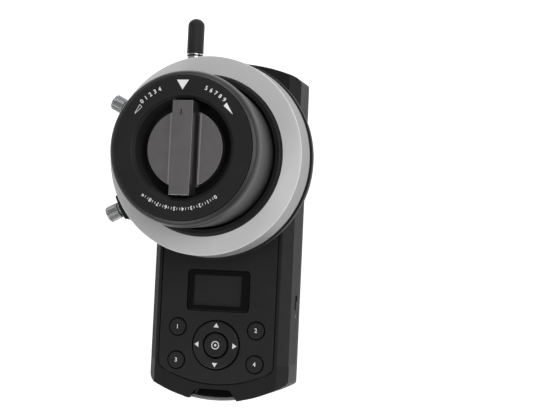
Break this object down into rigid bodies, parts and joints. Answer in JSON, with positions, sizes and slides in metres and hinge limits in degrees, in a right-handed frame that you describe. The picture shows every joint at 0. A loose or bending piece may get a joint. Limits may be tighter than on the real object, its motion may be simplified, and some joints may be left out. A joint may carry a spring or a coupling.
{
  "type": "wireless follow focus hand controller",
  "caption": "Hand-held follow focus controller: focus wheel with marking ring, tension dial and end stops on a slab casing with display, keypad and stub aerial.",
  "frame": {"origin": "where the wheel axis meets the flat back of the casing", "axes": "+Z along the wheel axis out of the front, +Y along the casing towards the aerial, +X to the right as seen from the front"},
  "size_m": [0.1044, 0.1889, 0.0972],
  "materials": {
    "casing_plastic": "satin black moulded plastic with a fine spark texture",
    "grip_rubber": "matte soft-touch rubber",
    "fascia_plastic": "matte black, very fine texture",
    "window": "smoked acrylic with a black printed border",
    "display": "unlit grey display",
    "circuit_board": "green solder mask",
    "dome_steel": "stainless snap domes",
    "shield_can": "tinned shield can",
    "battery_wrap": "heat-shrink wrap",
    "black_screw": "black oxide",
    "steel_insert": "turned stainless steel",
    "strap_bar_metal": "brushed, slightly dull",
    "port_shell": "dark nickel shell",
    "port_plastic": "black moulded jack",
    "light_pipe": "frosted clear light pipe",
    "brass_insert": "machined brass",
    "base_plastic": "black glass-filled nylon",
    "bearing_steel": "ground steel",
    "magnet": "nickel plated magnet",
    "marking_ring_paint": "light grey writable satin plastic",
    "collar_anodised": "dark grey bead-blasted and anodised",
    "knob_side": "satin black, soft sheen",
    "knob_face_plastic": "matte black with white print",
    "friction_pad": "fibre friction disc",
    "dial_metal": "gunmetal anodised aluminium",
    "stop_plastic": "black moulded slider",
    "thumbscrew_metal": "dull grey knurled thumbscrew",
    "button_plastic": "black key cap with white print",
    "pad_plastic": "satin black rocker ring",
    "switch_plastic": "black slider",
    "ferrule_metal": "bright rings on a black sleeve",
    "aerial_rubber": "black moulded rubber"
  },
  "bodies": {
    "body": {"front_casing": "casing_plastic", "rear_casing": "casing_plastic", "side_grip_left": "grip_rubber", "side_grip_right": "grip_rubber", "front_fascia": "fascia_plastic", "display_window": "window", "display_module": "display", "keypad_board": "circuit_board", "dome_switches": "dome_steel", "main_board": "circuit_board", "radio_module": "shield_can", "encoder_board": "circuit_board", "battery_pack": "battery_wrap", "casing_screws": "black_screw", "tripod_bush": "steel_insert", "strap_bar": "strap_bar_metal", "charge_port": "port_shell", "data_port": "port_plastic", "status_light": "light_pipe", "aerial_socket": "brass_insert", "base_ring": "base_plastic", "base_screws": "black_screw", "spindle_bearings": "bearing_steel", "bearing_spacer": "bearing_steel"},
    "focus_wheel": {"spindle": "bearing_steel", "spindle_clip": "black_screw", "encoder_magnet": "magnet", "wheel_carrier": "base_plastic", "ring_magnets": "magnet", "marking_ring": "marking_ring_paint", "drum_collar": "collar_anodised", "knob_sleeve": "knob_side", "knob_face": "knob_face_plastic", "knob_screws": "black_screw", "tension_bush": "brass_insert", "friction_washer": "friction_pad", "pressure_plate": "bearing_steel", "disc_springs": "bearing_steel", "thrust_spider": "bearing_steel"},
    "tension_dial": {"tension_dial": "dial_metal", "tension_bar": "dial_metal", "tension_screw": "bearing_steel"},
    "stop_a": {"stop_slider_a": "stop_plastic", "stop_plate_a": "bearing_steel"},
    "stop_b": {"stop_slider_b": "stop_plastic", "stop_plate_b": "bearing_steel"},
    "stop_screw_a": {"stop_screw_a": "thumbscrew_metal"},
    "stop_screw_b": {"stop_screw_b": "thumbscrew_metal"},
    "number_button_1": {"number_button_1": "button_plastic"},
    "number_button_2": {"number_button_2": "button_plastic"},
    "number_button_3": {"number_button_3": "button_plastic"},
    "number_button_4": {"number_button_4": "button_plastic"},
    "ok_button": {"ok_button": "button_plastic"},
    "pad_pivot": {"pad_pivot": "button_plastic"},
    "direction_pad": {"direction_pad": "pad_plastic"},
    "power_switch": {"power_switch": "switch_plastic"},
    "aerial": {"aerial_ferrule": "ferrule_metal", "aerial_whip": "aerial_rubber"}
  },
  "joints": [
    {"name": "focus_wheel_turn", "type": "hinge", "parent": "body", "child": "focus_wheel", "pos_m": [0, 0, 0.032], "axis": [0, 0, 1], "range_deg": [-140, 140]},
    {"name": "tension_dial_turn", "type": "hinge", "parent": "focus_wheel", "child": "tension_dial", "pos_m": [0, 0, 0.092], "axis": [0, 0, 1], "range_deg": [-150, 150]},
    {"name": "stop_a_slide_round_rim", "type": "hinge", "parent": "body", "child": "stop_a", "pos_m": [0, 0, 0.041], "axis": [0, 0, 1], "range_deg": [-60, 19]},
    {"name": "stop_a_thumbscrew", "type": "hinge", "parent": "stop_a", "child": "stop_screw_a", "pos_m": [-0.049, 0.02497, 0.041], "axis": [-0.891, 0.454, 0], "range_deg": [0, 360]},
    {"name": "stop_b_slide_round_rim", "type": "hinge", "parent": "body", "child": "stop_b", "pos_m": [0, 0, 0.041], "axis": [0, 0, 1], "range_deg": [-19, 60]},
    {"name": "stop_b_thumbscrew", "type": "hinge", "parent": "stop_b", "child": "stop_screw_b", "pos_m": [-0.049, -0.02497, 0.041], "axis": [-0.891, -0.454, 0], "range_deg": [0, 360]},
    {"name": "number_button_1_press", "type": "slide", "parent": "body", "child": "number_button_1", "axis": [0, 0, -1], "range_m": [0, 0.0006], "stiffness_N_per_m": 2500},
    {"name": "number_button_2_press", "type": "slide", "parent": "body", "child": "number_button_2", "axis": [0, 0, -1], "range_m": [0, 0.0006], "stiffness_N_per_m": 2500},
    {"name": "number_button_3_press", "type": "slide", "parent": "body", "child": "number_button_3", "axis": [0, 0, -1], "range_m": [0, 0.0006], "stiffness_N_per_m": 2500},
    {"name": "number_button_4_press", "type": "slide", "parent": "body", "child": "number_button_4", "axis": [0, 0, -1], "range_m": [0, 0.0006], "stiffness_N_per_m": 2500},
    {"name": "ok_button_press", "type": "slide", "parent": "body", "child": "ok_button", "axis": [0, 0, -1], "range_m": [0, 0.0006], "stiffness_N_per_m": 2500},
    {"name": "direction_pad_rock_up_down", "type": "hinge", "parent": "body", "child": "pad_pivot", "pos_m": [0, -0.0887, 0.0305], "axis": [1, 0, 0], "range_deg": [-2.5, 2.5], "stiffness_Nm_per_rad": 0.35},
    {"name": "direction_pad_rock_left_right", "type": "hinge", "parent": "pad_pivot", "child": "direction_pad", "pos_m": [0, -0.0887, 0.0305], "axis": [0, 1, 0], "range_deg": [-2.5, 2.5], "stiffness_Nm_per_rad": 0.35},
    {"name": "power_switch_slide", "type": "slide", "parent": "body", "child": "power_switch", "axis": [0, 1, 0], "range_m": [0, 0.0026]},
    {"name": "aerial_screw_turn", "type": "hinge", "parent": "body", "child": "aerial", "pos_m": [-0.0212, 0.055, 0.022], "axis": [0, 1, 0], "range_deg": [0, 360]}
  ]
}
